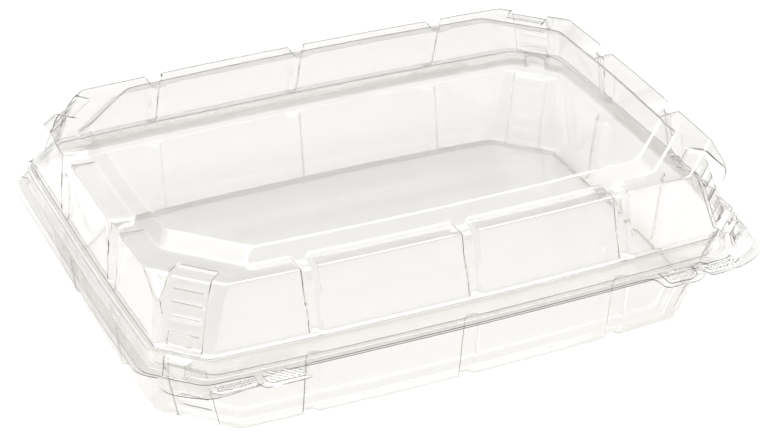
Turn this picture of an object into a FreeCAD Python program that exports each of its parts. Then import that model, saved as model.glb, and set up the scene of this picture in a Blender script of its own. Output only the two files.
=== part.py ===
import FreeCAD, Part
import os
import math
import Sketcher
from FreeCAD import Vector

# Hinged clear pack: a base tray and a domed lid, thermoformed from one sheet
# and joined by a moulded hinge web along the back long side.
# Frame: origin on the ground under the middle of the closed pack, +Z up,
# +X along the long side, -Y towards the opening side, hinge at +Y.
# Every sketch is drawn about the middle of the tray, and the three finished
# shapes are moved together so that the whole pack is centred.
# Plan outlines are rectangles with cut corners; half sizes are given.

doc = FreeCAD.newDocument("clamshell_pack")
sheet = doc.addObject("Spreadsheet::Sheet", "dims")

DIMS = [
    # sheet
    ("wall", 0.45, "sheet thickness"),
    ("nest_gap", 0.35, "air between bead and lid skirt"),
    # tray
    ("foot_x", 157.5, "tray underside, half length"),
    ("foot_y", 110.5, "tray underside, half width at the corners"),
    ("foot_cut", 33.0, "tray underside, corner cut"),
    ("foot_ring", 8.0, "width of the standing ring"),
    ("floor_rise", 5.0, "height of the raised floor"),
    ("tub_x", 162.6, "tray mouth, half length"),
    ("tub_y", 117.8, "tray mouth, half width"),
    ("tub_cut", 20.4, "tray mouth, corner cut"),
    ("bead_top", 51.8, "height of the rim bead"),
    ("bead_low_x", 166.5, "bead outside at the flange, half length"),
    ("bead_low_y", 121.5, "bead outside at the flange, half width"),
    ("bead_low_cut", 22.8, "bead outside at the flange, corner cut"),
    ("bead_up_x", 164.4, "bead outside at its top, half length"),
    ("bead_up_y", 119.8, "bead outside at its top, half width"),
    ("bead_up_cut", 22.0, "bead outside at its top, corner cut"),
    ("base_flange", 41.45, "underside of the tray flange"),
    ("rim_x", 174.0, "tray flange, half length"),
    ("rim_y", 126.8, "tray flange, half width"),
    ("rim_cut", 25.8, "tray flange, corner cut"),
    # lid
    ("lid_flange", 42.2, "underside of the lid flange"),
    ("lidrim_x", 171.5, "lid flange, half length"),
    ("lidrim_y", 126.2, "lid flange, half width"),
    ("lidrim_cut", 24.0, "lid flange, corner cut"),
    ("skirt_x", 167.5, "lid skirt at the flange, half length"),
    ("skirt_y", 122.5, "lid skirt at the flange, half width"),
    ("skirt_cut", 23.2, "lid skirt at the flange, corner cut"),
    ("shoulder_z", 53.2, "top of the lid skirt"),
    ("shoulder_x", 165.5, "lid skirt at its top, half length"),
    ("shoulder_y", 121.0, "lid skirt at its top, half width"),
    ("shoulder_cut", 22.6, "lid skirt at its top, corner cut"),
    ("wallfoot_x", 163.0, "lid wall at the shoulder, half length"),
    ("wallfoot_y", 118.5, "lid wall at the shoulder, half width"),
    ("wallfoot_cut", 21.5, "lid wall at the shoulder, corner cut"),
    ("wallfoot_cutshort", 19.7, "the same cut, along the short side"),
    ("brow_z", 78.4, "height where the wall's corners start to fall back"),
    ("brow_x", 160.76, "lid wall there, half length"),
    ("brow_y", 112.76, "lid wall there, half width"),
    ("brow_cut", 28.5, "lid wall there, corner cut along the long side"),
    ("brow_cutshort", 16.3, "lid wall there, corner cut along the short side"),
    ("crest_z", 87.0, "top edge of the lid wall"),
    ("crest_x", 160.0, "top edge of the lid wall, half length"),
    ("crest_y", 110.8, "top edge of the lid wall, half width"),
    ("crest_cut", 31.0, "top edge of the lid wall, corner cut"),
    ("crest_round", 1.5, "softening of the crest"),
    ("panel_z", 92.8, "top of the raised panel"),
    ("panel_x", 141.4, "raised panel, half length"),
    ("panel_y", 92.0, "raised panel, half width"),
    ("panel_cut", 33.3, "raised panel, corner cut"),
    ("panelfoot_x", 146.7, "raised panel foot, half length"),
    ("panelfoot_y", 97.3, "raised panel foot, half width"),
    ("panelfoot_cut", 32.7, "raised panel foot, corner cut"),
    # outward bow of the walls
    ("bow_long", 3.2, "bow of the long sides at mid length"),
    ("bow_short", 1.4, "bow of the short sides at mid length"),
    # stiffening grooves
    ("groove_deep", 3.5, "depth of the grooves"),
    ("groove_long_w", 9.0, "width of the grooves in the long walls"),
    ("groove_pitch", 86.5, "spacing of the grooves in the long walls"),
    ("groove_short_w", 12.4, "width of the grooves in the short walls"),
    ("groove_short_at", 38.0, "place of the grooves in the short walls"),
    ("groove_long_bow", 1.8, "bow of the long walls at the outer grooves"),
    ("groove_short_bow", 1.0, "bow of the short walls at their grooves"),
    ("ledge_drop", 3.2, "depth of the grooves across the ledge"),
    # corner panels
    ("lug_deep", 2.2, "depth of the corner panels"),
    ("lug_w", 21.4, "width of the corner panels"),
    ("lug_drop", 1.6, "depth of the corner panels' top step in the ledge"),
    ("lug_fade", 1.6, "how much shallower the lid's corner panels get at the crest"),
    ("lug_reach", 5.0, "how far that step reaches onto the ledge"),
    ("lug_at", 32.0, "place of the corner panels along the cut"),
    # corner snaps
    ("snap_out", 4.4, "how far the snap stands out"),
    ("snap_w", 15.0, "width of the snap"),
    ("snap_top", 50.6, "top of the lid snap"),
    ("snap_at", 31.8, "place of the snap along the cut"),
    # pull tabs
    ("tab_right_in", 98.5, "right lid tab, inner end"),
    ("tab_right_out", 129.0, "right lid tab, outer end"),
    ("tab_left_in", 96.0, "left lid tab, inner end"),
    ("tab_left_out", 121.5, "left lid tab, outer end"),
    ("tab_y", 140.0, "lid tab, reach"),
    ("tab_round", 6.0, "lid tab, corner radius"),
    ("ear_right_in", 125.0, "right tray ear, inner end"),
    ("ear_left_in", 117.5, "left tray ear, inner end"),
    ("ear_right_x", 178.0, "right tray ear, outer side"),
    ("ear_left_x", 167.2, "left tray ear, outer side"),
    ("ear_y", 137.0, "tray ear, reach"),
    ("ear_right_round", 36.0, "right tray ear, corner radius"),
    ("ear_left_round", 22.0, "left tray ear, corner radius"),
    ("ear_right_back", 70.0, "right tray ear, back end"),
    ("ear_left_back", 92.0, "left tray ear, back end"),
    # hinge web
    ("hinge_y", 131.0, "back edge of both flanges at the hinge"),
    ("hinge_z", 42.05, "hinge axis height"),
    ("hinge_half", 118.0, "half length of the hinge web"),
    ("web_mid", 2.0, "mean radius of the hinge bead, about the hinge axis"),
]
V = {}
for row, (alias, value, note) in enumerate(DIMS, start=1):
    sheet.set("A%d" % row, note)
    sheet.set("B%d" % row, str(value))
    sheet.setAlias("B%d" % row, alias)
    V[alias] = float(value)
doc.recompute()


class Term:
    """A sum of sheet cells: its expression and its present value."""

    def __init__(self, *items):
        text, total = "", 0.0
        for item in items:
            factor, alias = (item if isinstance(item, tuple) else (1.0, item))
            if alias is None:
                piece, value = "%.6f" % abs(factor), factor
            elif abs(factor) == 1.0:
                piece, value = "dims.%s" % alias, factor * V[alias]
            else:
                piece, value = "%.6f * dims.%s" % (abs(factor), alias), factor * V[alias]
            sign = "-" if factor < 0 else "+"
            text += (" %s " % sign if text else ("-" if factor < 0 else "")) + piece
            total += value
        self.text = text
        self.value = total
        self.items = items

    def plus(self, *more):
        return Term(*(tuple(self.items) + more))


SHRINK_CUT = -(2.0 - math.sqrt(2.0))


def inset(half, steps):
    """The same outline moved inwards by a number of wall thicknesses."""
    if not steps:
        return half
    length, width = half[:2]
    return (
        length.plus((-float(steps), "wall")),
        width.plus((-float(steps), "wall")),
    ) + tuple(cut.plus((SHRINK_CUT * steps, "wall")) for cut in half[2:])


def half(name):
    made = (Term(name + "_x"), Term(name + "_y"), Term(name + "_cut"))
    if name + "_cutshort" in V:
        made += (Term(name + "_cutshort"),)
    return made


def lock(sk, kind, *args, term=None):
    index = sk.addConstraint(Sketcher.Constraint(kind, *args))
    if term is not None:
        sk.setExpression("Constraints[%d]" % index, term.text)
    return index


def octagon(name, z, size, bow=True):
    """Cut-corner rectangle at a height, its four long edges bowed outwards."""
    length, width, cut = size[:3]
    brief = size[3] if len(size) > 3 else cut
    L, W, C, S = length.value, width.value, cut.value, brief.value
    sk = doc.addObject("Sketcher::SketchObject", name)
    sk.Placement.Base = Vector(0, 0, z.value)
    sk.setExpression("Placement.Base.z", z.text)
    pts = [
        (L - C, -W), (L, -(W - S)), (L, W - S), (L - C, W),
        (-(L - C), W), (-L, W - S), (-L, -(W - S)), (-(L - C), -W),
    ]
    pts = [Vector(x, y, 0) for x, y in pts]
    arcs = {}
    for i in range(8):
        a, b = pts[i], pts[(i + 1) % 8]
        # edges 1 and 5 are the short sides, 3 and 7 the long ones
        if bow and i % 2 == 1:
            sag = V["bow_short"] if i in (1, 5) else V["bow_long"]
            chord = (b - a).Length / 2.0
            radius = (chord * chord + sag * sag) / (2.0 * sag)
            mid = (a + b) * 0.5
            out = Vector((b - a).y, -(b - a).x, 0).normalize()
            centre = mid + out * (sag - radius)
            a0 = math.atan2(a.y - centre.y, a.x - centre.x)
            a1 = math.atan2(b.y - centre.y, b.x - centre.x)
            if a1 < a0:
                a1 += 2.0 * math.pi
            sk.addGeometry(Part.ArcOfCircle(Part.Circle(centre, Vector(0, 0, 1), radius), a0, a1), False)
            arcs[i] = radius
        else:
            sk.addGeometry(Part.LineSegment(a, b), False)
    for i in range(8):
        lock(sk, "Coincident", i, 2, (i + 1) % 8, 1)
    # first corner pair measured from the origin, the rest mirrored from it
    lock(sk, "DistanceX", -1, 1, 0, 1, L - C, term=length.plus(*[(-f, n) for f, n in pairs(cut)]))
    lock(sk, "DistanceY", 0, 1, -1, 1, W, term=width)
    lock(sk, "DistanceX", -1, 1, 1, 1, L, term=length)
    lock(sk, "DistanceY", 1, 1, -1, 1, W - S, term=width.plus(*[(-f, n) for f, n in pairs(brief)]))
    lock(sk, "Symmetric", 1, 1, 2, 1, -1)
    lock(sk, "Symmetric", 0, 1, 3, 1, -1)
    lock(sk, "Symmetric", 3, 1, 4, 1, -2)
    lock(sk, "Symmetric", 2, 1, 5, 1, -2)
    lock(sk, "Symmetric", 1, 1, 6, 1, -2)
    lock(sk, "Symmetric", 0, 1, 7, 1, -2)
    for i, radius in arcs.items():
        side, end = (width, brief) if i in (1, 5) else (length, cut)
        sag = "bow_short" if i in (1, 5) else "bow_long"
        chord = "(%s - (%s))" % (side.text, end.text)
        index = sk.addConstraint(Sketcher.Constraint("Radius", i, radius))
        sk.setExpression(
            "Constraints[%d]" % index,
            "(%s ^ 2 + dims.%s ^ 2) / (2 * dims.%s)" % (chord, sag, sag),
        )
    return sk


def pairs(term):
    return [(item if isinstance(item, tuple) else (1.0, item)) for item in term.items]


def loft(name, *sections):
    obj = doc.addObject("Part::Loft", name)
    obj.Sections = list(sections)
    obj.Solid = True
    obj.Ruled = True
    return obj


def polygon(name, frame, pts):
    """Closed profile of straight edges in a given sketch frame.

    Every corner is a pair of sheet terms, and frame is (base, rotation,
    {placement field: term})."""
    base, rotation, bound = frame
    sk = doc.addObject("Sketcher::SketchObject", name)
    sk.Placement = FreeCAD.Placement(base, rotation)
    for field, term in bound.items():
        sk.setExpression("Placement.Base." + field, term.text)
    n = len(pts)
    xy = [Vector(u.value, v.value, 0) for u, v in pts]
    for i in range(n):
        sk.addGeometry(Part.LineSegment(xy[i], xy[(i + 1) % n]), False)
    for i in range(n):
        lock(sk, "Coincident", i, 2, (i + 1) % n, 1)
    for i, (u, v) in enumerate(pts):
        lock(sk, "DistanceX", -1, 1, i, 1, u.value, term=u)
        lock(sk, "DistanceY", -1, 1, i, 1, v.value, term=v)
    return sk


def prism(name, sketch, direction, width):
    obj = doc.addObject("Part::Extrusion", name)
    obj.Base = sketch
    obj.DirMode = "Custom"
    obj.Dir = direction
    obj.LengthFwd = width.value
    obj.setExpression("LengthFwd", width.text)
    obj.Solid = True
    obj.Symmetric = True
    return obj


def mirror(name, source, normal):
    obj = doc.addObject("Part::Mirroring", name)
    obj.Source = source
    obj.Normal = normal
    obj.Base = Vector(0, 0, 0)
    return obj


def fuse(name, shapes):
    obj = doc.addObject("Part::MultiFuse", name)
    obj.Shapes = list(shapes)
    return obj


def cut(name, base, tool):
    obj = doc.addObject("Part::Cut", name)
    obj.Base = base
    obj.Tool = tool
    return obj


X_AXIS, Y_AXIS = Vector(1, 0, 0), Vector(0, 1, 0)
SIDE_YZ = FreeCAD.Rotation(Vector(1, 1, 1), 120)       # sketch x along +Y, sketch y along +Z
SIDE_XZ = FreeCAD.Rotation(Vector(1, 0, 0), 90)        # sketch x along +X, sketch y along +Z
CORNER = FreeCAD.Rotation(Vector(0, 0, 1), 45).multiply(SIDE_XZ)
ROOT2 = math.sqrt(0.5)
FAR = 60.0


def wall_profile(tag, frame, low, high, extra=()):
    """Profile of a recess: (depth, height) pairs, closed far outside."""
    pts = [(low[0].plus((FAR, None)), low[1])]
    pts += [low, high]
    pts += list(extra)
    last = pts[-1][1]
    pts += [(low[0].plus((FAR, None)), last)]
    return polygon(tag, frame, pts)


def recesses(tag, steps, low_name, low_z, high_name, high_z, ledge):
    """All grooves and corner panels of one wall, cut on the outer form with
    steps 0 and on the inner form with steps 1."""
    t = float(steps)
    grow = lambda alias: Term(alias, (2.0 * t, "wall")) if steps else Term(alias)
    made = []

    def side(kind, axis_low, axis_high, foot, bow, place, frame_rotation, direction, width, normals):
        # depth measured from the wall, bow included
        low = axis_low.plus((-1.0, "groove_deep"), (-t, "wall"), (1.0, bow))
        high = axis_high.plus((-1.0, "groove_deep"), (-t, "wall"), (1.0, bow))
        extra = []
        if ledge:
            top = Term("crest_z", (-1.0, "ledge_drop"), (-t, "wall"))
            hi = (high, top)
            extra = [(foot, top), (foot, Term("panel_z", (3.0, None)))]
        else:
            hi = (high, high_z)
        base, bound = place
        sk = wall_profile("%s_%s_profile" % (tag, kind), (base, frame_rotation, bound), (low, low_z), hi, extra)
        body = prism("%s_%s" % (tag, kind), sk, direction, width)
        out = [body]
        for i, normal in enumerate(normals):
            out += [mirror("%s_%s_m%d_%d" % (tag, kind, i, k), o, normal) for k, o in enumerate(list(out))]
        made.extend(out)

    foot_y = Term("panelfoot_y", (-t, "wall"))
    foot_x = Term("panelfoot_x", (-t, "wall"))
    pitch = Term("groove_pitch")
    side("long_mid", Term(low_name + "_y"), Term(high_name + "_y"), foot_y, "bow_long",
         (Vector(0, 0, 0), {}), SIDE_YZ, X_AXIS, grow("groove_long_w"), [Y_AXIS])
    side("long_out", Term(low_name + "_y"), Term(high_name + "_y"), foot_y, "groove_long_bow",
         (Vector(pitch.value, 0, 0), {"x": pitch}), SIDE_YZ, X_AXIS, grow("groove_long_w"), [Y_AXIS, X_AXIS])
    at = Term("groove_short_at")
    side("short", Term(low_name + "_x"), Term(high_name + "_x"), foot_x, "groove_short_bow",
         (Vector(0, at.value, 0), {"y": at}), SIDE_XZ, Y_AXIS, grow("groove_short_w"), [X_AXIS, Y_AXIS])

    # corner panels: distance from the axis measured square to the cut
    def diag(name):
        return Term((ROOT2, name + "_x"), (ROOT2, name + "_y"), (-ROOT2, name + "_cut"), (-1.0, "lug_deep"), (-t, "wall"))

    along = Term((ROOT2, "lug_at"))
    back = Term((-ROOT2, "lug_at"))
    top = Term("crest_z", (-1.0, "lug_drop"), (-t, "wall")) if ledge else high_z
    high_diag = diag(high_name)
    extra = []
    if ledge:
        high_diag = high_diag.plus((1.0, "lug_fade"))
        inner = diag("crest").plus((-1.0, "lug_reach"))
        extra = [(inner, top), (inner, Term("panel_z", (3.0, None)))]
    sk = wall_profile("%s_lug_profile" % tag,
                      (Vector(along.value, back.value, 0), CORNER, {"x": along, "y": back}),
                      (diag(low_name), low_z), (high_diag, top), extra)
    body = prism("%s_lug" % tag, sk, Vector(1, -1, 0).normalize(), grow("lug_w"))
    out = [body]
    for i, normal in enumerate((X_AXIS, Y_AXIS)):
        out += [mirror("%s_lug_m%d_%d" % (tag, i, k), o, normal) for k, o in enumerate(list(out))]
    made.extend(out)
    return fuse(tag, made)


def snaps(tag, steps, name, low_z, top_z, nested=False):
    """Four snap blocks standing out from the corner cuts of a rim. Nested
    ones sit inside the others with air at both ends."""
    t = float(steps)
    face = Term((ROOT2, name + "_x"), (ROOT2, name + "_y"), (-ROOT2, name + "_cut"), (-t, "wall"))
    tip = face.plus((1.0, "snap_out"))
    along, back = Term((ROOT2, "snap_at")), Term((-ROOT2, "snap_at"))
    pts = [
        (face.plus((-5.0, None)), low_z), (tip, low_z),
        (tip.plus((-0.9, None)), top_z), (face.plus((-5.0, None)), top_z),
    ]
    sk = polygon(tag + "_profile", (Vector(along.value, back.value, 0), CORNER, {"x": along, "y": back}), pts)
    width = Term("snap_w", (-2.0 * t - (2.0 if nested else 0.0), "wall"))
    if nested:
        width = width.plus((-9.0, "nest_gap"))
    body = prism(tag + "_block", sk, Vector(1, -1, 0).normalize(), width)
    out = [body]
    for i, normal in enumerate((X_AXIS, Y_AXIS)):
        out += [mirror("%s_m%d_%d" % (tag, i, k), o, normal) for k, o in enumerate(list(out))]
    return fuse(tag, out)


def plate(name, outline):
    """A flat outline one wall thick."""
    obj = doc.addObject("Part::Extrusion", name)
    obj.Base = outline
    obj.DirMode = "Custom"
    obj.Dir = Vector(0, 0, 1)
    obj.LengthFwd = V["wall"]
    obj.setExpression("LengthFwd", "dims.wall")
    obj.Solid = True
    return obj


def flat(name, z, pts, rounds):
    """Plan outline with rounded corners: rounds maps a corner to a radius term."""
    sk = doc.addObject("Sketcher::SketchObject", name)
    sk.Placement.Base = Vector(0, 0, z.value)
    sk.setExpression("Placement.Base.z", z.text)
    n = len(pts)
    xy = [Vector(u.value, v.value, 0) for u, v in pts]
    ends = []
    for i in range(n):
        p, a, b = xy[i], xy[i - 1], xy[(i + 1) % n]
        if i in rounds:
            r = rounds[i].value
            u, w = (a - p).normalize(), (b - p).normalize()
            ends.append((p + u * r, p + w * r, p + (u + w) * r))
        else:
            ends.append((p, p, None))
    edges = []
    for i in range(n):
        start, stop, centre = ends[i]
        if centre is not None:
            r = rounds[i].value
            a0 = math.atan2(start.y - centre.y, start.x - centre.x)
            a1 = math.atan2(stop.y - centre.y, stop.x - centre.x)
            ccw = (stop - start).cross(centre - start).z > 0
            if ccw:
                if a1 < a0:
                    a1 += 2 * math.pi
                index = sk.addGeometry(Part.ArcOfCircle(Part.Circle(centre, Vector(0, 0, 1), r), a0, a1), False)
                edges.append(("arc", index, 1, 2, i))
            else:
                if a0 < a1:
                    a0 += 2 * math.pi
                index = sk.addGeometry(Part.ArcOfCircle(Part.Circle(centre, Vector(0, 0, 1), r), a1, a0), False)
                edges.append(("arc", index, 2, 1, i))
        nxt = ends[(i + 1) % n][0]
        index = sk.addGeometry(Part.LineSegment(stop, nxt), False)
        edges.append(("line", index, 1, 2, i))
    m = len(edges)
    for k in range(m):
        _, ia, _, enda, _ = edges[k]
        _, ib, startb, _, _ = edges[(k + 1) % m]
        kind_a, kind_b = edges[k][0], edges[(k + 1) % m][0]
        lock(sk, "Tangent" if "arc" in (kind_a, kind_b) else "Coincident", ia, enda, ib, startb)
    for kind, index, start, stop, corner in edges:
        if kind == "arc":
            lock(sk, "Radius", index, rounds[corner].value, term=rounds[corner])
            # a rounded corner lies between a level and an upright edge
            r = rounds[corner]
            u, v = pts[corner]
            centre = ends[corner][2]
            du = 1.0 if centre.x > u.value else -1.0
            dv = 1.0 if centre.y > v.value else -1.0
            lock(sk, "DistanceX", -1, 1, index, 3, centre.x, term=u.plus(*[(du * f, x) for f, x in pairs(r)]))
            lock(sk, "DistanceY", -1, 1, index, 3, centre.y, term=v.plus(*[(dv * f, x) for f, x in pairs(r)]))
        elif corner not in rounds:
            u, v = pts[corner]
            lock(sk, "DistanceX", -1, 1, index, 1, u.value, term=u)
            lock(sk, "DistanceY", -1, 1, index, 1, v.value, term=v)
    return sk


ZERO = Term((0.0, None))


# ---------------------------------------------------------------- base tray
def tray():
    bead_top = Term("bead_top")
    flange = Term("base_flange")
    tub_out = loft("tub_outer",
                   octagon("tub_outer_low", ZERO, half("foot")),
                   octagon("tub_outer_high", bead_top, half("tub")))
    ring = half("foot")
    well = lambda d: (ring[0].plus((-1.0, "foot_ring"), d), ring[1].plus((-1.0, "foot_ring"), d), ring[2].plus((-0.586, "foot_ring")))
    dome_out = loft("underside_recess",
                    octagon("underside_low", Term((-1.0, None)), well((0.2, None))),
                    octagon("underside_high", Term("floor_rise"), well((-1.6, None))))
    dome_in = loft("floor_recess",
                   octagon("floor_low", Term((-1.0, None)), well((0.65, None))),
                   octagon("floor_high", Term("floor_rise", "wall"), well((-1.15, None))))
    bead_out = loft("bead_outer",
                    octagon("bead_outer_low", flange, half("bead_low")),
                    octagon("bead_outer_high", bead_top, half("bead_up")))
    bead_low_in = inset(half("bead_low"), 1)
    bead_in = loft("bead_inner",
                   octagon("bead_inner_low", flange.plus((-1.0, None)), bead_low_in),
                   octagon("bead_inner_high", bead_top.plus((-1.0, "wall")), inset(half("bead_up"), 1)))
    tub_in = loft("tub_inner",
                  octagon("tub_inner_low", Term("wall"), inset(half("foot"), 1)),
                  octagon("tub_inner_high", bead_top.plus((1.0, None)), inset(half("tub"), 1)))
    low, high = Term((-1.0, None)), flange.plus((-1.5, None))
    cuts_out = recesses("tray_grooves", 0, "foot", low, "tub", high, False)
    cuts_in = recesses("tray_ridges", 1, "foot", low, "tub", high.plus((1.0, "wall")), False)
    snap_top = Term("snap_top", (-1.0, "wall"), (-1.0, "nest_gap"))
    snap_out = snaps("tray_snaps", 0, "bead_low", flange, snap_top, True)
    snap_in = snaps("tray_snap_hollows", 1, "bead_low", flange.plus((-1.0, None)), snap_top.plus((-1.0, "wall")), True)

    shell_out = cut("tray_body", tub_out, fuse("tray_body_cuts", [cuts_out, dome_out]))
    cavity = cut("tray_cavity", tub_in, fuse("tray_cavity_keep", [cuts_in, dome_in]))
    # flange, widened at both front corners and straight along the hinge
    outline = octagon("tray_flange_outline", flange, half("rim"))
    parts = [plate("tray_flange", outline)]
    for hand in ("right", "left"):
        inner, outer = Term("ear_%s_in" % hand), Term("ear_%s_x" % hand)
        back = (-1.0, "ear_%s_back" % hand)
        root = "rim_x" if hand == "right" else "bead_up_x"
        ear = flat("tray_ear_%s_outline" % hand, flange, [
            (inner, Term((-1.0, "foot_y"))), (inner, Term((-1.0, "ear_y"))),
            (outer, Term((-1.0, "ear_y"))), (outer, Term(back, (-14.0, None))),
            (Term(root, (-1.0, None)), Term(back, (6.0, None))),
            (Term("foot_x"), Term(back, (6.0, None))), (Term("foot_x"), Term((-1.0, "foot_y"))),
        ], {2: Term("ear_%s_round" % hand)})
        piece = plate("tray_ear_" + hand, ear)
        parts.append(piece if hand == "right" else mirror("tray_ear_left_placed", piece, X_AXIS))
    heel = flat("tray_heel_outline", flange, [
        (Term("hinge_half"), Term("tub_y")), (Term("hinge_half"), Term("hinge_y")),
        (Term((-1.0, "hinge_half")), Term("hinge_y")), (Term((-1.0, "hinge_half")), Term("tub_y")),
    ], {})
    parts.append(plate("tray_heel", heel))
    flange_plate = fuse("tray_flange_plate", parts)
    solid = fuse("tray_solid", [shell_out, bead_out, snap_out, flange_plate])
    # the bead is hollow underneath, outside the tub wall
    bead_hollow = cut("bead_hollow", fuse("bead_hollow_fill", [bead_in, snap_in]), tub_out)
    return cut("tray_shape", solid, fuse("tray_hollows", [cavity, bead_hollow]))


# ---------------------------------------------------------------------- lid
def lid():
    flange = Term("lid_flange")
    shoulder = Term("shoulder_z")
    crest = Term("crest_z")
    made = {}
    for steps, tag in ((0, "outer"), (1, "inner")):
        t = float(steps)
        drop = (-t, "wall")
        low = flange if not steps else flange.plus((-1.0, None))
        skirt = loft("skirt_" + tag,
                     octagon("skirt_%s_low" % tag, low, inset(half("skirt"), steps)),
                     octagon("skirt_%s_high" % tag, shoulder.plus(drop), inset(half("shoulder"), steps)))
        soft = (-1.0, "crest_round")
        top_size = inset(half("crest"), steps)
        top_size = (top_size[0].plus(soft), top_size[1].plus(soft), top_size[2].plus((-0.586, "crest_round")))
        foot_z = shoulder if not steps else shoulder.plus((-1.0, None))
        wall = loft("lidwall_" + tag,
                    octagon("lidwall_%s_low" % tag, foot_z.plus((-0.5, None)), inset(half("wallfoot"), steps)),
                    octagon("lidwall_%s_brow" % tag, Term("brow_z", drop), inset(half("brow"), steps)),
                    octagon("lidwall_%s_mid" % tag, crest.plus(drop, soft), inset(half("crest"), steps)),
                    octagon("lidwall_%s_top" % tag, crest.plus(drop), top_size))
        panel = loft("panel_" + tag,
                     octagon("panel_%s_low" % tag, crest.plus((-2.0, None)), inset(half("panelfoot"), steps)),
                     octagon("panel_%s_high" % tag, Term("panel_z", drop), inset(half("panel"), steps)))
        snap_low = flange if not steps else flange.plus((-1.0, None))
        snap = snaps("lid_snaps_" + tag, steps, "skirt", snap_low, Term("snap_top", drop))
        cuts = recesses("lid_grooves_" + tag, steps, "wallfoot", shoulder.plus((0.3, None)) if not steps else shoulder.plus((0.3, None), (-1.0, "wall")),
                        "crest", crest, True)
        made[tag] = (skirt, wall, panel, snap, cuts)
    skirt, wall, panel, snap, cuts = made["outer"]
    upper = cut("lid_upper", wall, cuts)
    outline = octagon("lid_flange_outline", flange, half("lidrim"))
    parts = [plate("lid_flange_ring", outline)]
    for hand in ("right", "left"):
        inner, outer = Term("tab_%s_in" % hand), Term("tab_%s_out" % hand)
        tab = flat("lid_tab_%s_outline" % hand, flange, [
            (inner, Term((-1.0, "wallfoot_y"))), (inner, Term((-1.0, "tab_y"))),
            (outer, Term((-1.0, "tab_y"))), (outer, Term((-1.0, "wallfoot_y"))),
        ], {1: Term("tab_round"), 2: Term("tab_round")})
        piece = plate("lid_tab_" + hand, tab)
        parts.append(piece if hand == "right" else mirror("lid_tab_left_placed", piece, X_AXIS))
    heel = flat("lid_heel_outline", flange, [
        (Term("hinge_half"), Term("wallfoot_y")), (Term("hinge_half"), Term("hinge_y")),
        (Term((-1.0, "hinge_half")), Term("hinge_y")), (Term((-1.0, "hinge_half")), Term("wallfoot_y")),
    ], {})
    parts.append(plate("lid_heel", heel))
    solid = fuse("lid_solid", [skirt, upper, panel, snap] + parts)
    skirt, wall, panel, snap, cuts = made["inner"]
    hollow = fuse("lid_hollow", [skirt, cut("lid_hollow_upper", wall, cuts), panel, snap])
    return cut("lid_shape", solid, hollow)


# -------------------------------------------------------------- hinge web
def hinge():
    """Moulded hinge bead: a split ring along the back that joins the two
    flanges, round about the hinge axis."""
    start = Term((-1.0, "hinge_half"))
    centre = (Term("hinge_y", "web_mid"), Term("hinge_z"))
    sk = doc.addObject("Sketcher::SketchObject", "hinge_profile")
    sk.Placement = FreeCAD.Placement(Vector(start.value, 0, 0), SIDE_YZ)
    sk.setExpression("Placement.Base.x", start.text)
    cy, cz = centre[0].value, centre[1].value
    out, inn = V["web_mid"] + V["wall"] / 2, V["web_mid"] - V["wall"] / 2
    sk.addGeometry(Part.Circle(Vector(cy, cz, 0), Vector(0, 0, 1), out), False)
    sk.addGeometry(Part.Circle(Vector(cy, cz, 0), Vector(0, 0, 1), inn), False)
    lock(sk, "DistanceX", -1, 1, 0, 3, cy, term=centre[0])
    lock(sk, "DistanceY", -1, 1, 0, 3, cz, term=centre[1])
    lock(sk, "Coincident", 0, 3, 1, 3)
    lock(sk, "Radius", 0, out, term=Term("web_mid", (0.5, "wall")))
    lock(sk, "Radius", 1, inn, term=Term("web_mid", (-0.5, "wall")))
    ring = doc.addObject("Part::Extrusion", "hinge_ring")
    ring.Base = sk
    ring.DirMode = "Custom"
    ring.Dir = X_AXIS
    ring.LengthFwd = 2 * V["hinge_half"]
    ring.setExpression("LengthFwd", "2 * dims.hinge_half")
    ring.Solid = True
    # open towards the flanges: flush with their back edges, split at the parting
    front = doc.addObject("Part::Box", "hinge_front_trim")
    front.setExpression("Length", "2 * dims.hinge_half + 2")
    front.setExpression("Width", "2")
    front.setExpression("Height", "8")
    front.setExpression("Placement.Base.x", "-dims.hinge_half - 1")
    front.setExpression("Placement.Base.y", "dims.hinge_y - 2")
    front.setExpression("Placement.Base.z", "dims.hinge_z - 4")
    slot = doc.addObject("Part::Box", "hinge_parting")
    slot.setExpression("Length", "2 * dims.hinge_half + 2")
    slot.setExpression("Width", "dims.web_mid + 1")
    slot.setExpression("Height", "dims.lid_flange - dims.base_flange - dims.wall")
    slot.setExpression("Placement.Base.x", "-dims.hinge_half - 1")
    slot.setExpression("Placement.Base.y", "dims.hinge_y - 1")
    slot.setExpression("Placement.Base.z", "dims.base_flange + dims.wall")
    return cut("hinge_shape", ring, fuse("hinge_trims", [front, slot]))


NODES = [("base_tray", tray()), ("lid", lid()), ("hinge_strip", hinge())]
CENTRING_X = "(dims.rim_x + dims.bow_short - dims.ear_right_x) / 2"
CENTRING_Y = "(dims.tab_y - dims.hinge_y - 2 * dims.web_mid - dims.wall / 2) / 2"
for label, obj in NODES:
    obj.Label = label
    obj.setExpression("Placement.Base.x", CENTRING_X)
    obj.setExpression("Placement.Base.y", CENTRING_Y)
doc.recompute()

faults = []
for obj in doc.Objects:
    if "Invalid" in obj.State or "Error" in obj.State:
        faults.append((obj.Name, obj.State))
for label, obj in NODES:
    shape = obj.Shape
    if shape.isNull() or not shape.isValid() or len(shape.Solids) != 1:
        faults.append((label, "null" if shape.isNull() else "valid %s, solids %d" % (shape.isValid(), len(shape.Solids))))
if faults:
    raise RuntimeError("model faults: %s" % faults)

os.makedirs("parts", exist_ok=True)
for label, obj in NODES:
    obj.Shape.exportStep(os.path.join("parts", label + ".step"))
    box = obj.Shape.BoundBox
    print(label, "volume %.0f" % obj.Shape.Volume,
          "x %.1f..%.1f y %.1f..%.1f z %.1f..%.1f" % (box.XMin, box.XMax, box.YMin, box.YMax, box.ZMin, box.ZMax))
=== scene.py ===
import math

import bmesh
import bpy
import numpy as np
from mathutils import Matrix, Vector, noise
from mathutils.geometry import delaunay_2d_cdt


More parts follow.
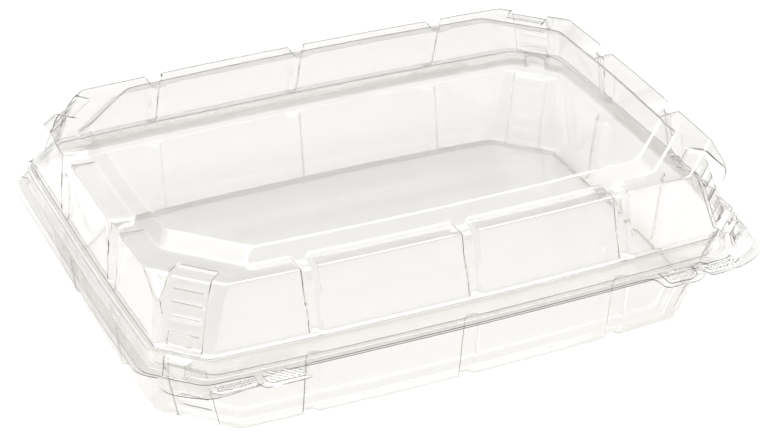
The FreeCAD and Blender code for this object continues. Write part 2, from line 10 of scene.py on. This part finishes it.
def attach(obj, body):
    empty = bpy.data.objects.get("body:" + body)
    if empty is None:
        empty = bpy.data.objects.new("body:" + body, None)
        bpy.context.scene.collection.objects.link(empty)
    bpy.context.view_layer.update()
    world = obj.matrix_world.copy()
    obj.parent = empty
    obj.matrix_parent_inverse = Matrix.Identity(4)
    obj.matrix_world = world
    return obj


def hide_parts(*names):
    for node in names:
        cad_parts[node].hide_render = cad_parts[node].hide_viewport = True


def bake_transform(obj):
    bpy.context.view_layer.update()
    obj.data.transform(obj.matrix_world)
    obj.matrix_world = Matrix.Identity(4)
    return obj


# Lengths below are millimetres about the middle of the tray, which lies at
# (OX, OY) in the frame. Meshes are made in metres.
MM = 0.001
OX, OY = -1.3, 2.3875
SHEET = 0.45
R2 = math.sqrt(0.5)

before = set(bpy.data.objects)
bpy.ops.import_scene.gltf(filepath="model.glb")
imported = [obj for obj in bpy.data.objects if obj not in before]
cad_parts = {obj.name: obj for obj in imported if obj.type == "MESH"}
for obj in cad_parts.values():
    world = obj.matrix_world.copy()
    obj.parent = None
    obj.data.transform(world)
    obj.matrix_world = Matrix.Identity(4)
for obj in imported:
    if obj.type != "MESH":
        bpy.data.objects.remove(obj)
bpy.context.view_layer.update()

# ------------------------------------------------------------------ samples
LONG_AT = (0.0, 86.5, -86.5)
SHORT_AT = (38.0, -38.0)
LUG_AT = 32.0
SNAP_AT = 31.8


def spread(centres, reach, step, last, gap):
    """Places along an edge: dense round each centre, sparse between."""
    places = set()
    for c in centres:
        n = int(round(reach / step))
        for i in range(-n, n + 1):
            places.add(round(c + i * step, 4))
    n = int(round(last / gap))
    for i in range(-n, n + 1):
        v = last * i / n
        if all(abs(v - c) > reach + 0.3 * gap for c in centres):
            places.add(round(v, 4))
    return sorted(places)


LONG = spread(LONG_AT, 5.4, 0.9, 95.0, 6.3)
SHORT = spread(SHORT_AT, 7.2, 0.9, 49.0, 5.4)
CUT = [-11.6, -11.1, -10.6, -10.1, -9.5, -8.6, -7.8, -7.0, -6.2, -4.6, -2.4, 0.0,
       2.4, 4.6, 6.2, 7.0, 7.8, 8.6, 9.5, 10.1, 10.6, 11.1, 11.6]
ENDS = 4
ROUND = 6

# edge: (kind, outward normal, direction of travel), counterclockwise
EDGES = [
    ("long", (0, -1), (1, 0)),
    ("cut", (R2, -R2), (R2, R2)),
    ("short", (1, 0), (0, 1)),
    ("cut", (R2, R2), (-R2, R2)),
    ("long", (0, 1), (-1, 0)),
    ("cut", (-R2, R2), (-R2, -R2)),
    ("short", (-1, 0), (0, -1)),
    ("cut", (-R2, -R2), (R2, -R2)),
]


def smooth(v):
    v = min(1.0, max(0.0, v))
    return v * v * (3.0 - 2.0 * v)


def window(d, flat, end):
    return 1.0 - smooth((abs(d) - flat) / (end - flat))


def places(inner, low, high):
    """Fixed places, with a few more up to the ends of this edge."""
    keep = [p for p in inner]
    lo_room, hi_room = keep[0] - low, high - keep[-1]
    if lo_room < 0.4:
        f = (low + 0.4) / keep[0] if keep[0] < 0 else 1.0
        keep = [p * f if p < 0 else p for p in keep]
    if hi_room < 0.4:
        f = (high - 0.4) / keep[-1] if keep[-1] > 0 else 1.0
        keep = [p * f if p > 0 else p for p in keep]
    a = [low + (keep[0] - low) * i / ENDS for i in range(ENDS)]
    b = [keep[-1] + (high - keep[-1]) * (i + 1) / ENDS for i in range(ENDS)]
    return a + keep + b


def key(L, W, C, r, z, gl=0.0, gz=0.0, lug=0.0, lz=0.0, snap=0.0, wide=0.0, S=None):
    """Half length, half width, corner cut along the long and short (S) sides,
    plan radius and height of a row; depth and drop of its grooves and corner
    panels; stand of its corner snaps; extra width of its grooves."""
    return np.array([L, W, C, r, z, gl, C if S is None else S, gz, lug, lz, snap, wide], float)


def ring(k, snap_half=7.5, ribs=None):
    """One closed row of points for a set of plan and groove values."""
    L, W, C, r, z, gl, S, gz, lug, lz, snap, wide = [float(v) for v in k]
    bl, bs = 3.2 * min(1.0, L / 120.0), 1.4 * min(1.0, L / 120.0)
    t = 0.4142 * r
    half = {"long": L - C, "short": W - S, "cut": 0.5 * math.hypot(C, S)}
    plane = (L + W - C) * R2
    rows = []
    for kind, n, d in EDGES:
        h = half[kind]
        e = max(h - t, 0.2)
        if kind == "long":
            base = (n[0] * W, n[1] * W)
            bow, seq = bl, places(LONG, -e, e)
        elif kind == "short":
            base = (n[0] * L, n[1] * L)
            bow, seq = bs, places(SHORT, -e, e)
        else:
            sx, sy = math.copysign(1, n[0]), math.copysign(1, n[1])
            base = (sx * (L - C / 2), sy * (W - S / 2))
            # the cut runs at 45 degrees unless its two lengths differ
            d = (math.copysign(C, d[0]) / math.hypot(C, S), math.copysign(S, d[1]) / math.hypot(C, S))
            bow = 0.0
            # the panel keeps its place along the cut on every level
            way = math.copysign(1, d[0] * sx)
            rate = (abs(d[0]) + abs(d[1])) * R2
            middle = (L - C / 2 - W + S / 2) * R2
            inner = sorted(way * (LUG_AT + c - middle) / rate for c in CUT)
            seq = places(inner, -e, e)
        row = []
        for s in seq:
            b = bow * (1.0 - (s / h) ** 2)
            out, drop = b, 0.0
            if kind == "long":
                g = max(window(s - c, 2.0 + wide, 5.0 + wide) for c in LONG_AT)
                out -= gl * g
                drop = gz * g
            elif kind == "short":
                g = max(window(s - c, 3.6 + wide, 6.9 + wide) for c in SHORT_AT)
                out -= gl * g
                drop = gz * g
            else:
                ax, ay = abs(base[0] + d[0] * s), abs(base[1] + d[1] * s)
                q = (ax - ay) * R2
                g = window(q - LUG_AT, 10.1, 11.1)
                rib = ribs(z, q) if ribs else 0.0
                if lug:
                    out += g * (plane - lug - (ax + ay) * R2) + rib
                drop = lz * g
                if snap:
                    out += snap * window(q - SNAP_AT, snap_half - 1.1, snap_half)
            row.append((base[0] + d[0] * s + n[0] * out, base[1] + d[1] * s + n[1] * out, z - drop))
        rows.append(row)
    # where edge i meets the next one
    corners = [(L - C, -W), (L, -(W - S)), (L, W - S), (L - C, W),
               (-(L - C), W), (-L, W - S), (-L, -(W - S)), (-(L - C), -W)]
    pts = []
    for i in range(8):
        a, b = rows[i][-1], rows[(i + 1) % 8][0]
        cx, cy = corners[i]
        pts += rows[i]
        for j in range(1, ROUND):
            u = j / ROUND
            w0, w1, w2 = (1 - u) ** 2, 2 * u * (1 - u), u * u
            pts.append((w0 * a[0] + w1 * cx + w2 * b[0], w0 * a[1] + w1 * cy + w2 * b[1],
                        w0 * a[2] + w1 * z + w2 * b[2]))
    return pts


def profile(keys):
    """keys: (values, softening radius, rows in the softening, rows on the way
    to the next key). Gives every row of the section, softened at its turns."""
    out = []
    for i, (k, soft, turns, steps) in enumerate(keys):
        if 0 < i < len(keys) - 1 and soft > 0:
            p, q = keys[i - 1][0], keys[i + 1][0]
            lp = math.hypot(p[1] - k[1], p[4] - k[4]) or 1e-6
            lq = math.hypot(q[1] - k[1], q[4] - k[4]) or 1e-6
            a = k + (p - k) * min(soft / lp, 0.48)
            b = k + (q - k) * min(soft / lq, 0.48)
            for j in range(turns + 1):
                u = j / turns
                out.append((1 - u) ** 2 * a + 2 * u * (1 - u) * k + u * u * b)
        else:
            out.append(k)
        if i < len(keys) - 1 and steps:
            start = out[-1]
            n = keys[i + 1]
            end = n[0]
            if i + 1 < len(keys) - 1 and n[1] > 0:
                ln = math.hypot(k[1] - n[0][1], k[4] - n[0][4]) or 1e-6
                end = n[0] + (k - n[0]) * min(n[1] / ln, 0.48)
            for j in range(1, steps + 1):
                out.append(start + (end - start) * j / (steps + 1))
    return out


def waver(p, amount=0.22):
    """The slight unevenness of drawn sheet, the same for pieces that touch."""
    v = noise.noise_vector(Vector((p[0] * 0.021, p[1] * 0.021, p[2] * 0.03)))
    w = noise.noise_vector(Vector((p[0] * 0.055 + 7.0, p[1] * 0.055, p[2] * 0.05)))
    return (p[0] + amount * v.x + 0.1 * w.x, p[1] + amount * v.y + 0.1 * w.y,
            p[2] + 0.5 * amount * v.z * min(1.0, max(0.0, (p[2] - 1.0) / 10.0)))


# ----------------------------------------------------------------- outlines
def curve(pts, step=1.6):
    """A smooth open line through points, in short straight steps."""
    out = []
    n = len(pts)
    for i in range(n - 1):
        p0, p1 = pts[max(i - 1, 0)], pts[i]
        p2, p3 = pts[i + 1], pts[min(i + 2, n - 1)]
        m = max(2, int(math.dist(p1, p2) / step))
        for j in range(m):
            u = j / m
            out.append(tuple(0.5 * (2 * p1[c] + (p2[c] - p0[c]) * u
                                    + (2 * p0[c] - 5 * p1[c] + 4 * p2[c] - p3[c]) * u * u
                                    + (3 * p1[c] - p0[c] - 3 * p2[c] + p3[c]) * u ** 3) for c in (0, 1)))
    out.append(tuple(pts[-1]))
    return out


def splice(loop, part):
    """The closed loop with its stretch between the part's ends replaced."""
    near = lambda p: min(range(len(loop)), key=lambda i: math.dist(loop[i][:2], p))
    i, j = near(part[0]), near(part[-1])
    keep = []
    m = j
    while m != i:
        keep.append(loop[m])
        m = (m + 1) % len(loop)
    keep.append(loop[i])
    return [tuple(p[:2]) for p in keep[1:-1]] + [tuple(p) for p in part]


def inside(p, poly):
    x, y = p
    hit = False
    j = len(poly) - 1
    for i in range(len(poly)):
        xi, yi = poly[i][0], poly[i][1]
        xj, yj = poly[j][0], poly[j][1]
        if (yi > y) != (yj > y) and x < (xj - xi) * (y - yi) / (yj - yi) + xi:
            hit = not hit
        j = i
    return hit


def away(p, line):
    """Distance from a point to an open line."""
    best = 1e9
    for a, b in zip(line, line[1:]):
        dx, dy = b[0] - a[0], b[1] - a[1]
        u = ((p[0] - a[0]) * dx + (p[1] - a[1]) * dy) / (dx * dx + dy * dy)
        u = min(1.0, max(0.0, u))
        best = min(best, math.hypot(p[0] - a[0] - u * dx, p[1] - a[1] - u * dy))
    return best


def apron(bm, rim, outer, z, shape, zones, flip):
    """Flat border between the last row of a wall and an outline. shape gives
    the height of the relief at a place, zones the patches it is worked into."""
    inner = [(v.co.x / MM - OX, v.co.y / MM - OY) for v in rim]
    coords = [Vector(p) for p in inner] + [Vector(p) for p in outer]
    n, m = len(inner), len(outer)
    edges = [(i, (i + 1) % n) for i in range(n)] + [(n + i, n + (i + 1) % m) for i in range(m)]
    for area, step in zones:
        x0, x1 = min(p[0] for p in area), max(p[0] for p in area)
        y0, y1 = min(p[1] for p in area), max(p[1] for p in area)
        row, y = 0, y0 + step / 2
        while y < y1:
            x = x0 + step / 2 + (row % 2) * step / 2
            while x < x1:
                if inside((x, y), area) and inside((x, y), outer) and not inside((x, y), inner):
                    if away((x, y), inner + inner[:1]) > 0.5 * step and away((x, y), outer + outer[:1]) > 0.5 * step:
                        coords.append(Vector((x, y)))
                x += step
            y += step
            row += 1
    verts, _, faces, origin, _, _ = delaunay_2d_cdt(coords, edges, [], 0, 1e-4)
    made = []
    for i, v in enumerate(verts):
        src = origin[i]
        if src and src[0] < n:
            made.append(rim[src[0]])
        else:
            x, y, zz = waver((v.x, v.y, z + shape(v.x, v.y)))
            made.append(bm.verts.new(((x + OX) * MM, (y + OY) * MM, zz * MM)))
    for f in faces:
        cx = sum(verts[i].x for i in f) / 3
        cy = sum(verts[i].y for i in f) / 3
        if inside((cx, cy), inner) or not inside((cx, cy), outer):
            continue
        corners = [made[i] for i in f]
        if len(set(corners)) < 3:
            continue
        try:
            bm.faces.new(corners if not flip else corners[::-1])
        except ValueError:
            pass


def sweep(bm, rows, down):
    """Rows of points joined to a skin; down turns its outside downwards."""
    grid = []
    for row in rows:
        line = []
        for p in row:
            x, y, z = waver(p)
            line.append(bm.verts.new(((x + OX) * MM, (y + OY) * MM, z * MM)))
        grid.append(line)
    n = len(grid[0])
    for a, b in zip(grid, grid[1:]):
        for j in range(n):
            k = (j + 1) % n
            quad = [a[j], a[k], b[k], b[j]]
            bm.faces.new(quad if down else quad[::-1])
    c = waver((0.0, 0.0, rows[0][0][2]))
    hub = bm.verts.new(((c[0] + OX) * MM, (c[1] + OY) * MM, c[2] * MM))
    for j in range(n):
        tri = [grid[0][(j + 1) % n], grid[0][j], hub]
        bm.faces.new(tri if down else tri[::-1])
    return grid


def finish_sheet(name, bm, node, body):
    mesh = bpy.data.meshes.new(name)
    bm.normal_update()
    bm.to_mesh(mesh)
    bm.free()
    for p in mesh.polygons:
        p.use_smooth = True
    obj = bpy.data.objects.new(name, mesh)
    bpy.context.scene.collection.objects.link(obj)
    solid = obj.modifiers.new("gauge", "SOLIDIFY")
    solid.thickness = SHEET * MM
    solid.offset = -1.0
    solid.use_even_offset = False
    mesh.materials.append(CLEAR)
    bpy.context.view_layer.update()
    thick = bpy.data.meshes.new_from_object(obj.evaluated_get(bpy.context.evaluated_depsgraph_get()))
    obj.modifiers.clear()
    obj.data = thick
    thick.name = name
    bpy.data.meshes.remove(mesh)
    thick.set_sharp_from_angle(angle=math.radians(42.0))
    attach(obj, body)
    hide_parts(node)
    return obj


# ---------------------------------------------------------------- materials
def clear_sheet():
    m = bpy.data.materials.new("clear_sheet")
    m.use_nodes = True
    nt = m.node_tree
    nt.nodes.clear()
    out = nt.nodes.new("ShaderNodeOutputMaterial")
    body = nt.nodes.new("ShaderNodeBsdfPrincipled")
    body.inputs["Base Color"].default_value = (0.985, 0.980, 0.974, 1.0)
    body.inputs["Metallic"].default_value = 0.0
    body.inputs["Roughness"].default_value = 0.035
    body.inputs["IOR"].default_value = 1.57
    body.inputs["Transmission Weight"].default_value = 1.0
    coat = nt.nodes.new("ShaderNodeBsdfTransparent")
    coat.inputs["Color"].default_value = (0.985, 0.983, 0.980, 1.0)
    # soft light passes the thin sheet straight, so the floor inside stays lit
    path = nt.nodes.new("ShaderNodeLightPath")
    soft = nt.nodes.new("ShaderNodeMath")
    soft.operation = "MAXIMUM"
    mix = nt.nodes.new("ShaderNodeMixShader")
    grain = nt.nodes.new("ShaderNodeTexNoise")
    grain.inputs["Scale"].default_value = 55.0
    grain.inputs["Detail"].default_value = 2.0
    where = nt.nodes.new("ShaderNodeTexCoord")
    bump = nt.nodes.new("ShaderNodeBump")
    bump.inputs["Strength"].default_value = 0.06
    bump.inputs["Distance"].default_value = 0.0012
    nt.links.new(where.outputs["Object"], grain.inputs["Vector"])
    nt.links.new(grain.outputs["Fac"], bump.inputs["Height"])
    nt.links.new(bump.outputs["Normal"], body.inputs["Normal"])
    nt.links.new(path.outputs["Is Shadow Ray"], soft.inputs[0])
    nt.links.new(path.outputs["Is Diffuse Ray"], soft.inputs[1])
    nt.links.new(soft.outputs["Value"], mix.inputs[0])
    nt.links.new(body.outputs["BSDF"], mix.inputs[1])
    nt.links.new(coat.outputs["BSDF"], mix.inputs[2])
    nt.links.new(mix.outputs["Shader"], out.inputs["Surface"])
    # light that runs along inside the sheet fades, so cut edges and bends look grey
    fade = nt.nodes.new("ShaderNodeVolumeAbsorption")
    fade.inputs["Color"].default_value = (0.32, 0.31, 0.29, 1.0)
    fade.inputs["Density"].default_value = 66.0
    nt.links.new(fade.outputs["Volume"], out.inputs["Volume"])
    return m


CLEAR = clear_sheet()
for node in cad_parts.values():
    node.data.materials.clear()
    node.data.materials.append(CLEAR)


# ---------------------------------------------------------------------- lid
def lid_ribs(z, q):
    """Level ribs that stand out of the corner panels, and the pad at their foot."""
    bars = sum(1.0 * window(z - at, 0.2, 1.35) for at in (81.0, 74.4, 67.3, 60.4)) * window(q - LUG_AT, 8.4, 9.6)
    ramp = 1.8 * min(1.0, max(0.0, (60.2 - z) / 4.4)) * window(q - 34.6, 5.4, 6.4)
    return max(bars, ramp)


def build_lid():
    panel = (141.4, 92.0, 33.3)
    keys = [
        (key(panel[0] * 0.36, panel[1] * 0.30, panel[2] * 0.30, 6.0, 92.8), 0, 0, 1),
        (key(panel[0] * 0.86, panel[1] * 0.84, panel[2] * 0.86, 8.0, 92.8), 0, 0, 1),
        (key(141.4, 92.0, 33.3, 8.0, 92.8), 1.3, 5, 4),
        (key(146.7, 97.3, 32.7, 8.0, 86.0, gl=-2.0, gz=2.4), 1.2, 5, 1),
        (key(153.5, 104.2, 31.8, 6.5, 86.5, gl=-0.2, gz=2.8, lz=0.0), 0, 0, 0),
        (key(154.3, 105.0, 31.7, 6.0, 86.5, gl=0.0, gz=2.9, lug=0.0, lz=1.3), 0, 0, 0),
        (key(156.2, 106.9, 31.5, 6.0, 86.7, gl=0.9, gz=3.2, lug=0.1, lz=1.5), 0, 0, 1),
        (key(160.0, 110.8, 31.0, 5.0, 87.0, gl=3.4, gz=4.4, lug=0.6, lz=1.8, S=31.0), 1.5, 6, 0),
        (key(160.27, 111.5, 30.1, 5.5, 84.0, gl=3.3, gz=3.0, lug=0.8, lz=0.7, S=26.0), 0, 0, 2),
        (key(160.76, 112.76, 28.5, 6.0, 78.4, gl=3.5, gz=1.0, lug=1.1, lz=0.0, S=16.3), 2.2, 4, 19),
        (key(163.0, 118.5, 21.5, 8.0, 53.9, gl=3.6, lug=2.2, wide=-1.2, S=19.7), 0.8, 3, 1),
        (key(165.3, 120.8, 22.6, 10.0, 53.2, wide=-1.2), 0.7, 4, 0),
        (key(165.7, 121.2, 22.8, 11.0, 51.7), 0.4, 2, 0),
        (key(166.4, 121.8, 22.9, 11.0, 51.1), 0.4, 2, 0),
        (key(166.6, 121.9, 23.0, 11.0, 50.2, snap=3.6), 0.6, 3, 3),
        (key(167.5, 122.5, 23.2, 12.0, 42.65, snap=4.4), 0.8, 4, 0),
        (key(168.4, 123.4, 23.4, 12.0, 42.65, snap=4.1), 0, 0, 0),
    ]
    rows = [ring(k, ribs=lid_ribs if 54.3 < k[4] < 84.0 and k[8] > 0.7 else None) for k in profile(keys)]
    bm = bmesh.new()
    grid = sweep(bm, rows, False)
    edge = ring(key(171.5, 126.2, 24.0, 12.0, 42.65))
    left = curve([(-122.9, -127.6), (-122.9, -135.0), (-121.4, -138.3), (-118.4, -139.8),
                  (-108.0, -140.0), (-99.6, -140.0), (-96.8, -139.0), (-95.8, -136.4), (-95.6, -128.6)])
    right = curve([(97.6, -128.6), (99.6, -131.2), (100.3, -134.0), (100.6, -137.4), (102.2, -139.5), (106.0, -140.0),
                   (117.2, -140.0), (122.7, -138.4), (126.8, -135.0), (128.3, -131.6), (129.6, -127.2)])
    heel = [(118.6, 127.0), (118.4, 130.4), (117.6, 131.0)]
    heel += [(118.0 - 4.0 * i, 131.0) for i in range(1, 59)]
    heel += [(-117.6, 131.0), (-118.4, 130.4), (-118.6, 127.0)]
    outer = splice(edge, left)
    outer = splice(outer, right)
    outer = splice(outer, heel)
    knurl_left = [(-117.0, -127.6), (-105.4, -128.6), (-99.9, -131.6), (-99.3, -136.0), (-117.2, -136.0)]
    knurl_right = [(106.0, -128.2), (119.4, -128.2), (117.0, -135.6), (106.0, -135.6)]
    line_left = [(-119.3, -128.0), (-119.4, -134.6), (-117.4, -137.6), (-99.0, -138.0)]
    line_right = [(103.4, -127.0), (103.9, -136.9), (105.2, -137.9), (117.8, -137.9), (121.0, -135.6), (123.0, -128.4)]

    def relief(x, y):
        h = 0.0
        for area in (knurl_left, knurl_right):
            if inside((x, y), area):
                h += 0.5 * (0.5 + 0.5 * math.sin((x + y) * 2.1) * (1.0 if x < 0 else math.sin((x - y) * 2.1)))
        for line in (line_left, line_right):
            h += 0.55 * window(away((x, y), line), 0.1, 1.1)
        return h

    root = [(-105.4, -127.4), (-96.2, -127.4), (-96.6, -137.0), (-98.6, -137.0), (-99.0, -131.3), (-105.0, -128.1)]
    zones = [(knurl_left, 0.62), (knurl_right, 0.62), (root, 1.0)]
    for line in (line_left, line_right):
        for a, b in zip(line, line[1:]):
            dx, dy = b[0] - a[0], b[1] - a[1]
            n = math.hypot(dx, dy)
            nx, ny = -dy / n * 1.35, dx / n * 1.35
            zones.append(([(a[0] + nx, a[1] + ny), (b[0] + nx, b[1] + ny), (b[0] - nx, b[1] - ny), (a[0] - nx, a[1] - ny)], 0.6))
    apron(bm, grid[-1], outer, 42.65, relief, zones, False)
    return finish_sheet("lid_sheet", bm, "lid", "lid")


# --------------------------------------------------------------------- tray
def tray_ribs(z, q):
    return sum(0.9 * window(z - at, 0.3, 1.6) for at in (32.0, 24.5, 17.0, 9.5)) * window(q - LUG_AT, 8.0, 9.6)


def build_tray():
    floor = (147.9, 100.9, 28.3)
    keys = [
        (key(floor[0] * 0.36, floor[1] * 0.30, floor[2] * 0.30, 6.0, 5.0), 0, 0, 1),
        (key(floor[0] * 0.86, floor[1] * 0.84, floor[2] * 0.86, 8.0, 5.0), 0, 0, 1),
        (key(147.9, 100.9, 28.3, 8.0, 5.0), 1.4, 4, 1),
        (key(149.7, 102.7, 28.3, 8.0, 0.0), 1.2, 4, 1),
        (key(157.5, 110.5, 33.0, 10.0, 0.0, gl=3.5, lug=2.2), 1.8, 5, 18),
        (key(161.42, 116.05, 23.4, 9.0, 39.4, gl=3.5, lug=2.2), 0.5, 3, 1),
        (key(161.5, 116.15, 23.2, 9.0, 40.1), 0.4, 3, 1),
        (key(162.05, 116.9, 22.0, 9.0, 40.7), 0.4, 3, 3),
        (key(162.6, 117.8, 20.4, 7.0, 51.35), 0.6, 4, 0),
        (key(163.95, 119.35, 21.8, 8.0, 51.35), 0.6, 4, 1),
        (key(164.3, 119.6, 22.0, 8.0, 49.8), 0, 0, 0),
        (key(164.5, 119.8, 22.0, 8.0, 49.0, snap=3.6), 0, 0, 3),
        (key(166.05, 121.05, 22.6, 9.0, 41.45, snap=4.2), 0.7, 4, 0),
        (key(167.2, 122.2, 22.9, 10.0, 41.45, snap=4.0), 0, 0, 0),
    ]
    rows = [ring(k, snap_half=5.4, ribs=tray_ribs if 6.0 < k[4] < 36.0 and k[8] > 1.0 else None) for k in profile(keys)]
    bm = bmesh.new()
    grid = sweep(bm, rows, True)
    edge = ring(key(174.0, 126.8, 25.8, 15.0, 41.45))
    right = curve([(125.6, -128.0), (127.4, -133.0), (129.6, -136.4), (133.0, -137.2), (144.5, -136.3), (152.5, -134.2), (160.0, -130.7),
                   (166.8, -125.0), (171.6, -118.0), (174.8, -109.0), (176.8, -100.0), (177.5, -92.0),
                   (176.8, -84.0), (175.4, -74.0), (174.5, -64.0)])
    left = curve([(-165.4, -109.0), (-167.0, -114.0), (-166.7, -120.3), (-164.4, -124.8), (-159.9, -129.0), (-154.0, -133.4),
                  (-147.3, -136.6), (-141.0, -136.9), (-133.0, -136.2), (-123.4, -135.4), (-119.8, -133.6), (-118.4, -129.4)])
    heel = [(118.6, 127.6), (118.4, 130.4), (117.6, 131.0)]
    heel += [(118.0 - 4.0 * i, 131.0) for i in range(1, 59)]
    heel += [(-117.6, 131.0), (-118.4, 130.4), (-118.6, 127.6)]
    outer = splice(edge, left)
    outer = splice(outer, right)
    outer = splice(outer, heel)
    knurl_right = [(130.5, -127.0), (148.6, -126.0), (149.2, -128.6), (146.5, -131.6), (130.9, -132.0)]
    knurl_left = [(-143.1, -127.2), (-128.2, -127.2), (-121.6, -127.6), (-123.4, -131.6), (-133.4, -132.4), (-142.4, -131.8)]
    line_right = [(128.9, -128.6), (129.3, -132.4), (131.0, -134.0), (146.6, -133.5), (150.6, -130.4)]
    line_rim = [(172.4, -92.0), (171.9, -104.0), (168.6, -114.1), (162.6, -120.9), (154.0, -126.6)]
    line_left = [(-121.4, -130.6), (-123.0, -133.4), (-133.0, -134.2), (-142.6, -133.8), (-145.4, -130.4), (-145.0, -127.4)]

    def relief(x, y):
        h = 0.0
        for area in (knurl_left, knurl_right):
            if inside((x, y), area):
                h -= 0.7 * (0.5 + 0.5 * math.sin(x * 2.9) * math.sin(y * 2.9))
        for line in (line_left, line_right, line_rim):
            h -= 0.6 * window(away((x, y), line), 0.15, 1.2)
        return h

    zones = [(knurl_left, 0.62), (knurl_right, 0.62)]
    for line in (line_left, line_right, line_rim):
        for a, b in zip(line, line[1:]):
            dx, dy = b[0] - a[0], b[1] - a[1]
            n = math.hypot(dx, dy)
            nx, ny = -dy / n * 1.4, dx / n * 1.4
            zones.append(([(a[0] + nx, a[1] + ny), (b[0] + nx, b[1] + ny), (b[0] - nx, b[1] - ny), (a[0] - nx, a[1] - ny)], 0.65))
    apron(bm, grid[-1], outer, 41.45, relief, zones, True)
    return finish_sheet("tray_sheet", bm, "base_tray", "tray")


# -------------------------------------------------------------- hinge bead
def build_hinge():
    """A rolled bead, open towards the flanges, closed as one solid skin."""
    cy, cz = 133.0, 42.05
    angles = [168.0 - 12.0 * i for i in range(13)]
    angles += [24.0 - 12.0, 9.0, 6.0, 3.0, 0.0, -3.0, -6.0, -9.0, -12.0]
    angles += [-24.0 - 12.0 * i for i in range(13)]
    section = []
    for side in (1, -1):
        seq = angles if side > 0 else angles[::-1]
        for a in seq:
            t = math.radians(a)
            rad = 2.0 + 0.1 * math.sin(t) + side * SHEET / 2
            section.append((cy + rad * math.cos(t), cz + rad * math.sin(t)))
    stations = [-118.0 + 236.0 * i / 48 for i in range(49)]
    bm = bmesh.new()
    grid = []
    for x in stations:
        line = []
        for y, z in section:
            p = waver((x, y, z), 0.1)
            line.append(bm.verts.new(((x + OX) * MM, (p[1] + OY) * MM, p[2] * MM)))
        grid.append(line)
    n = len(section)
    for a, b in zip(grid, grid[1:]):
        for j in range(n):
            k = (j + 1) % n
            bm.faces.new([a[j], a[k], b[k], b[j]])
    half = len(angles)
    for line, turn in ((grid[0], False), (grid[-1], True)):
        for j in range(half - 1):
            quad = [line[j], line[j + 1], line[n - 2 - j], line[n - 1 - j]]
            bm.faces.new(quad[::-1] if not turn else quad)
    bmesh.ops.recalc_face_normals(bm, faces=bm.faces)
    mesh = bpy.data.meshes.new("hinge_bead")
    bm.to_mesh(mesh)
    bm.free()
    for p in mesh.polygons:
        p.use_smooth = True
    mesh.set_sharp_from_angle(angle=math.radians(42.0))
    mesh.materials.append(CLEAR)
    obj = bpy.data.objects.new("hinge_bead", mesh)
    bpy.context.scene.collection.objects.link(obj)
    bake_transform(obj)
    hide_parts("hinge_strip")
    return obj


build_lid()
build_tray()
build_hinge()


# ------------------------------------------------------------ floor, lights
def plain(name, colour, rough):
    m = bpy.data.materials.new(name)
    m.use_nodes = True
    b = m.node_tree.nodes["Principled BSDF"]
    b.inputs["Base Color"].default_value = (*colour, 1.0)
    b.inputs["Roughness"].default_value = rough
    b.inputs["Specular IOR Level"].default_value = 0.1
    return m


mesh = bpy.data.meshes.new("floor")
mesh.from_pydata([(-6, -6, 0), (6, -6, 0), (6, 6, 0), (-6, 6, 0)], [], [(0, 1, 2, 3)])
floor = bpy.data.objects.new("floor", mesh)
floor.location.z = -0.0002
bpy.context.scene.collection.objects.link(floor)
mesh.materials.append(plain("floor_white", (0.86, 0.86, 0.855), 0.9))

world = bpy.context.scene.world or bpy.data.worlds.new("studio")
bpy.context.scene.world = world
world.use_nodes = True
wt = world.node_tree
wt.nodes.clear()
sky = wt.nodes.new("ShaderNodeBackground")
sky.inputs["Strength"].default_value = 0.70
way = wt.nodes.new("ShaderNodeTexCoord")
split = wt.nodes.new("ShaderNodeSeparateXYZ")
ramp = wt.nodes.new("ShaderNodeValToRGB")
ramp.color_ramp.elements[0].position = 0.0
ramp.color_ramp.elements[0].color = (0.34, 0.34, 0.34, 1.0)
ramp.color_ramp.elements[1].position = 0.75
ramp.color_ramp.elements[1].color = (1.0, 0.99, 0.975, 1.0)
for at, tone in ((0.09, 0.12), (0.27, 0.10), (0.50, 0.48)):
    ramp.color_ramp.elements.new(at).color = (tone, tone, tone, 1.0)
wt.links.new(way.outputs["Generated"], split.inputs["Vector"])
wt.links.new(split.outputs["Z"], ramp.inputs["Fac"])
wt.links.new(ramp.outputs["Color"], sky.inputs["Color"])
wt.links.new(sky.outputs["Background"], wt.nodes.new("ShaderNodeOutputWorld").inputs["Surface"])


def softbox(name, direction, distance, width, height, power, aim=(0.0, 0.0, 0.05)):
    data = bpy.data.lights.new(name, "AREA")
    data.shape = "RECTANGLE"
    data.size, data.size_y = width, height
    data.energy = power
    obj = bpy.data.objects.new(name, data)
    bpy.context.scene.collection.objects.link(obj)
    d = Vector(direction).normalized()
    obj.location = Vector(aim) + d * distance
    obj.rotation_euler = d.to_track_quat("Z", "Y").to_euler()
    return obj


softbox("box_top", (0.0, 0.05, 1.0), 1.25, 1.5, 1.4, 20.0)
softbox("box_left", (-0.62, -0.10, 0.78), 2.0, 0.8, 0.6, 1.6)
softbox("box_right", (0.66, 0.49, 0.57), 2.0, 0.5, 0.5, 4.0)

# ------------------------------------------------------------------- camera
cam = bpy.data.cameras.new("view")
cam.sensor_fit = "HORIZONTAL"
cam.sensor_width = 36.0
cam.lens = 111.52
cam.dof.use_dof = False
eye = bpy.data.objects.new("view", cam)
bpy.context.scene.collection.objects.link(eye)
right = Vector((0.90966493, -0.41530369, 0.00570659))
down = Vector((-0.20645843, -0.46405490, -0.86141045))
ahead = Vector((0.36039511, 0.78241670, -0.50787741))
turn = Matrix((right, -down, -ahead)).transposed().to_4x4()
eye.matrix_world = Matrix.Translation((-0.469003 + OX * MM, -1.035854 + OY * MM, 0.703114)) @ turn
bpy.context.scene.camera = eye

scene = bpy.context.scene
scene.view_settings.view_transform = "Standard"
scene.cycles.max_bounces = 32
scene.cycles.transmission_bounces = 32
scene.cycles.glossy_bounces = 8
scene.cycles.diffuse_bounces = 3
scene.cycles.transparent_max_bounces = 64
scene.cycles.caustics_refractive = False
scene.cycles.caustics_reflective = False
